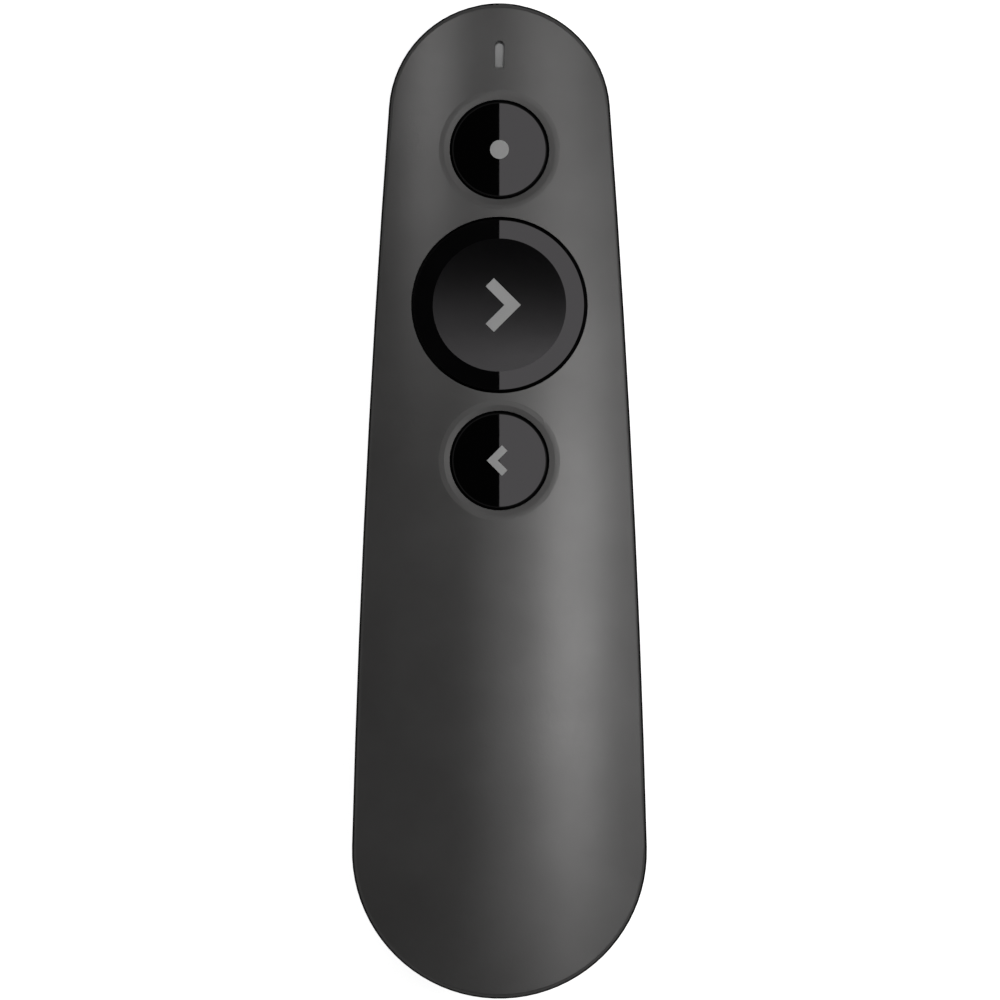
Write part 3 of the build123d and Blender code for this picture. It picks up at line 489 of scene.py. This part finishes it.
# %% [markdown]
# The large cap has a dish for the thumb, which is etched satin so that it doesn't slip.
# The pits of the etching also swallow part of the light, so the dish gets a lower
# Specular IOR Level than the polish round it. That socket holds one number for a whole
# material, so the dish is given a material of its own, face by face. The rim of the dish
# is an edge of the solid, and no face lies across it.

# %% Etch the thumb dish
DISH_RADIUS = 0.00845
FACING_UP = 0.5

dish_satin = finish("dish_satin", *CAP_BLACKS, roughness=(0.28, 0.32), relief=1e-6)
shader_of(dish_satin).inputs["Specular IOR Level"].default_value = 0.2
next_cap.data.materials.append(dish_satin)
dish_faces = 0
for face in next_cap.data.polygons:
    reach = math.hypot(face.center.x, face.center.y - NEXT_Y)
    if reach < DISH_RADIUS and face.normal.z > FACING_UP:
        face.material_index = 1
        dish_faces += 1
print("faces of the dish:", dish_faces)

# %% [markdown]
# In a studio, black cards on stands keep a lamp off the glossy parts of an object, so
# that they mirror one clean panel and nothing else. Light linking is Blender's card: a
# collection on the lamp names the pieces that it lights, or the ones that it spares.
# The softboxes also spare the bottom cover, whose narrow ledge has to draw a black line
# round the grey cover.

# %% Put up the cards


def card(lamp_object, pieces, state):
    """Lets a lamp light only the pieces (INCLUDE) or all but the pieces (EXCLUDE)."""
    collection = bpy.data.collections.new(lamp_object.name + "_card")
    for piece in pieces:
        collection.objects.link(piece)
    for member in collection.collection_objects:
        member.light_linking.link_state = state
    lamp_object.light_linking.receiver_collection = collection


for lamp_object in softboxes:
    card(lamp_object, [*caps, nodes["bottom_cover"]], "EXCLUDE")
card(cap_panel, [laser_cap, back_cap], "INCLUDE")
card(rim_panel, [next_cap], "INCLUDE")
card(dish_panel, [next_cap], "INCLUDE")
print("cards up for", len(caps), "caps")

# %% [markdown]
# The symbols are a second shot of light grey plastic, flush with the caps. The dot and
# the arrow on the small caps lie in the crown, so they are shaded by the same formula.
# The arrow on the large cap lies in the dish, and keeps the normals of its solid.

# %% Let in the symbols
symbol_grey = finish(
    "symbol_grey",
    (0.44, 0.44, 0.44),
    (0.48, 0.48, 0.48),
    (0.5, 0.6),
    grain=0.0003,
    relief=3e-6,
)
crowned_copy("laser_button_symbol", "laser_key", symbol_grey)
crowned_copy("back_button_symbol", "back_key", symbol_grey)
dress(symbol_grey, "next_button_symbol")

# %% [markdown]
# ## The soft-touch shell
#
# The bottom cover, the battery door and the receiver's grip have a rubbery black
# lacquer that doesn't slide on a table. It is dark and quite rough, with a faint bloom
# at grazing angles, which is what the Sheen sockets are for.

# %% Mix the soft-touch black
soft_black = finish(
    "soft_touch_black",
    dark=(0.008, 0.008, 0.008),
    light=(0.012, 0.012, 0.012),
    roughness=(0.45, 0.58),
    grain=0.00025,
)
soft_shader = shader_of(soft_black)
soft_shader.inputs["Specular IOR Level"].default_value = 0.3
soft_shader.inputs["Sheen Weight"].default_value = 0.01
soft_shader.inputs["Sheen Roughness"].default_value = 0.4
dress(soft_black, "bottom_cover", "battery_door", "receiver_cap")

# %% [markdown]
# ## The status light and the laser window
#
# The light guide is a milky plastic that spreads a small lamp's light over its slot.
# It is lit from both sides, so it needs a little transmission, but most of what the eye
# gets from it is its own grey. The laser's bezel is polished black, and its window and
# lens are clear glass.

# %% Mix the clear and milky plastics
milky = finish("milky_guide", (0.38, 0.38, 0.38), (0.46, 0.46, 0.46), (0.28, 0.36), patch=0.002)
shader_of(milky).inputs["Transmission Weight"].default_value = 0.15
dress(milky, "light_guide", "status_led")

clear = finish("clear_glass", (0.92, 0.94, 0.95), (0.97, 0.98, 0.98), (0.01, 0.03), relief=1e-7)
shader_of(clear).inputs["Transmission Weight"].default_value = 0.95
shader_of(clear).inputs["IOR"].default_value = 1.5
dress(clear, "laser_window", "laser_lens")

bezel_black = finish(
    "bezel_black", (0.004, 0.004, 0.004), (0.007, 0.007, 0.007), (0.08, 0.14), relief=5e-7
)
dress(bezel_black, "laser_bezel")

# %% [markdown]
# ## Metals
#
# Plated steel is nearly white and hides its tool marks under nickel, black zinc keeps
# only a dull glint, brass from the lathe has fine rings round its axis, and contacts
# are flashed with gold. All are pure metals to the shader, told apart by colour and by
# how rough they are.

# %% Mix the metals
nickel = finish(
    "nickel_plate",
    (0.52, 0.51, 0.49),
    (0.62, 0.61, 0.58),
    (0.18, 0.32),
    grain=0.0004,
    relief=2e-6,
    metallic=1.0,
)
dress(nickel, "crystal", "board_screws", "strap_screws", "laser_strap", "receiver_plug_shell")
dress(nickel, "negative_contact", "positive_contact", "negative_spring")

black_zinc = finish(
    "black_zinc",
    (0.035, 0.035, 0.038),
    (0.06, 0.06, 0.063),
    (0.32, 0.45),
    grain=0.0003,
    relief=3e-6,
    metallic=1.0,
)
dress(black_zinc, "case_screws")

gold_flash = finish(
    "gold_flash",
    (0.78, 0.56, 0.22),
    (0.86, 0.66, 0.30),
    (0.16, 0.26),
    grain=0.0003,
    relief=1e-6,
    metallic=1.0,
)
dress(gold_flash, "laser_diode", "laser_pins", "receiver_contacts")

# %% [markdown]
# The lathe's rings lie across the barrel, about a fifth of a millimetre apart. A Wave
# texture along Y draws them, since the barrel points that way, and a little distortion
# keeps them from being as even as a screw thread.

# %% Turn the brass
RING_SCALE = 1500.0
RING_RELIEF = 4e-6
RING_STRENGTH = 0.6

brass = finish("turned_brass", (0.62, 0.43, 0.17), (0.72, 0.52, 0.23), (0.18, 0.30), metallic=1.0)
brass_tree = brass.node_tree
rings = brass_tree.nodes.new("ShaderNodeTexWave")
rings.bands_direction = "Y"
rings.inputs["Scale"].default_value = RING_SCALE
rings.inputs["Distortion"].default_value = 0.6
brass_tree.links.new(object_place(brass_tree), rings.inputs["Vector"])
ring_normal = link_bump(brass_tree, rings.outputs["Fac"], RING_RELIEF, RING_STRENGTH)
brass_tree.links.new(ring_normal, shader_of(brass).inputs["Normal"])
dress(brass, "laser_barrel")

# %% [markdown]
# ## The circuit board
#
# The board is laminate under a green varnish, with copper tracks that stand out as
# slightly lighter lines. A Brick texture gives straight lines with corners, one or two
# millimetres apart at this scale, and its mortar is the track.

# %% Print the board
TRACK_SCALE = 250.0
TRACK_GREEN = (0.02, 0.13, 0.05, 1.0)

board_green = finish(
    "board_green", (0.006, 0.05, 0.02), (0.009, 0.065, 0.028), (0.25, 0.38), relief=3e-6
)
board_tree = board_green.node_tree
board_colour = shader_of(board_green).inputs["Base Color"]
varnish = board_colour.links[0].from_socket
tracks = board_tree.nodes.new("ShaderNodeTexBrick")
tracks.inputs["Scale"].default_value = TRACK_SCALE
tracks.inputs["Mortar Size"].default_value = 0.06
tracks.inputs["Mortar"].default_value = TRACK_GREEN
board_tree.links.new(object_place(board_tree), tracks.inputs["Vector"])
board_tree.links.new(varnish, tracks.inputs["Color1"])
board_tree.links.new(varnish, tracks.inputs["Color2"])
board_tree.links.new(tracks.outputs["Color"], board_colour)
dress(board_green, "main_board")

# %% [markdown]
# What is soldered to the board is dull: black resin for the radio chip and the coil,
# cream ceramic for the antenna and the small parts, and nylon for the three switches,
# black for the housing and red for the plunger. The tongue of the receiver's plug is
# moulded in the same black.

# %% Dress the parts on the board
resin = finish(
    "chip_resin", (0.012, 0.012, 0.013), (0.02, 0.02, 0.021), (0.45, 0.6), relief=6e-6
)
ceramic = finish(
    "fired_ceramic", (0.50, 0.46, 0.38), (0.60, 0.56, 0.48), (0.35, 0.5), relief=5e-6
)
switch_black = finish("switch_black", (0.02, 0.02, 0.022), (0.032, 0.032, 0.034), (0.35, 0.5))
switch_red = finish("plunger_red", (0.32, 0.035, 0.02), (0.40, 0.05, 0.03), (0.35, 0.5))
dress(resin, "radio_chip", "boost_coil")
dress(ceramic, "chip_antenna", "chip_passives")
dress(switch_black, *(key + "_switch_body" for key in ("laser", "next", "back")))
dress(switch_black, "receiver_tongue")
dress(switch_red, *(key + "_switch_plunger" for key in ("laser", "next", "back")))

# %% [markdown]
# ## The battery
#
# A cell is a plated can in a printed film. The film has a dark body and a copper
# coloured band at the positive end, so its colour follows the distance along Y.

# %% Wrap the battery
FILM_BAND = (-0.0010, 0.0)
FILM_COPPER = (0.45, 0.20, 0.07, 1.0)

can_plate = finish(
    "can_plate", (0.60, 0.60, 0.59), (0.70, 0.70, 0.68), (0.16, 0.28), relief=2e-6, metallic=1.0
)
dress(can_plate, "battery_cell")

film = finish(
    "printed_film", (0.010, 0.020, 0.014), (0.016, 0.028, 0.020), (0.18, 0.26), relief=2e-6
)
film_tree = film.node_tree
film_colour = shader_of(film).inputs["Base Color"]
film_place = film_tree.nodes.new("ShaderNodeSeparateXYZ")
film_tree.links.new(object_place(film_tree), film_place.inputs["Vector"])
band = link_range(film_tree, film_place.outputs["Y"], FILM_BAND, (0.0, 1.0))
film_mix = film_tree.nodes.new("ShaderNodeMix")
film_mix.data_type = "RGBA"
film_mix.inputs["B"].default_value = FILM_COPPER
film_tree.links.new(band, film_mix.inputs["Factor"])
film_tree.links.new(film_colour.links[0].from_socket, film_mix.inputs["A"])
film_tree.links.new(film_mix.outputs["Result"], film_colour)
dress(film, "battery_sleeve")

# %% [markdown]
# The lead beside the cell has plain black insulation. The pad on the door that holds the
# cell in place is open foam, and a Voronoi texture gives its pores.

# %% Add the lead and the foam pad
PORE_SCALE = 3000.0
PORE_RELIEF = 0.0001
PORE_STRENGTH = 0.8

insulation = finish("lead_insulation", (0.01, 0.01, 0.01), (0.018, 0.018, 0.018), (0.3, 0.4))
dress(insulation, "negative_lead")

foam = finish("open_foam", (0.015, 0.015, 0.016), (0.03, 0.03, 0.032), (0.85, 0.95))
foam_tree = foam.node_tree
pores = foam_tree.nodes.new("ShaderNodeTexVoronoi")
pores.inputs["Scale"].default_value = PORE_SCALE
foam_tree.links.new(object_place(foam_tree), pores.inputs["Vector"])
pore_normal = link_bump(foam_tree, pores.outputs["Distance"], PORE_RELIEF, PORE_STRENGTH)
foam_tree.links.new(pore_normal, shader_of(foam).inputs["Normal"])
dress(foam, "door_foam_pad")

# %% [markdown]
# ## The end

# %% End
print("the clicker is dressed")
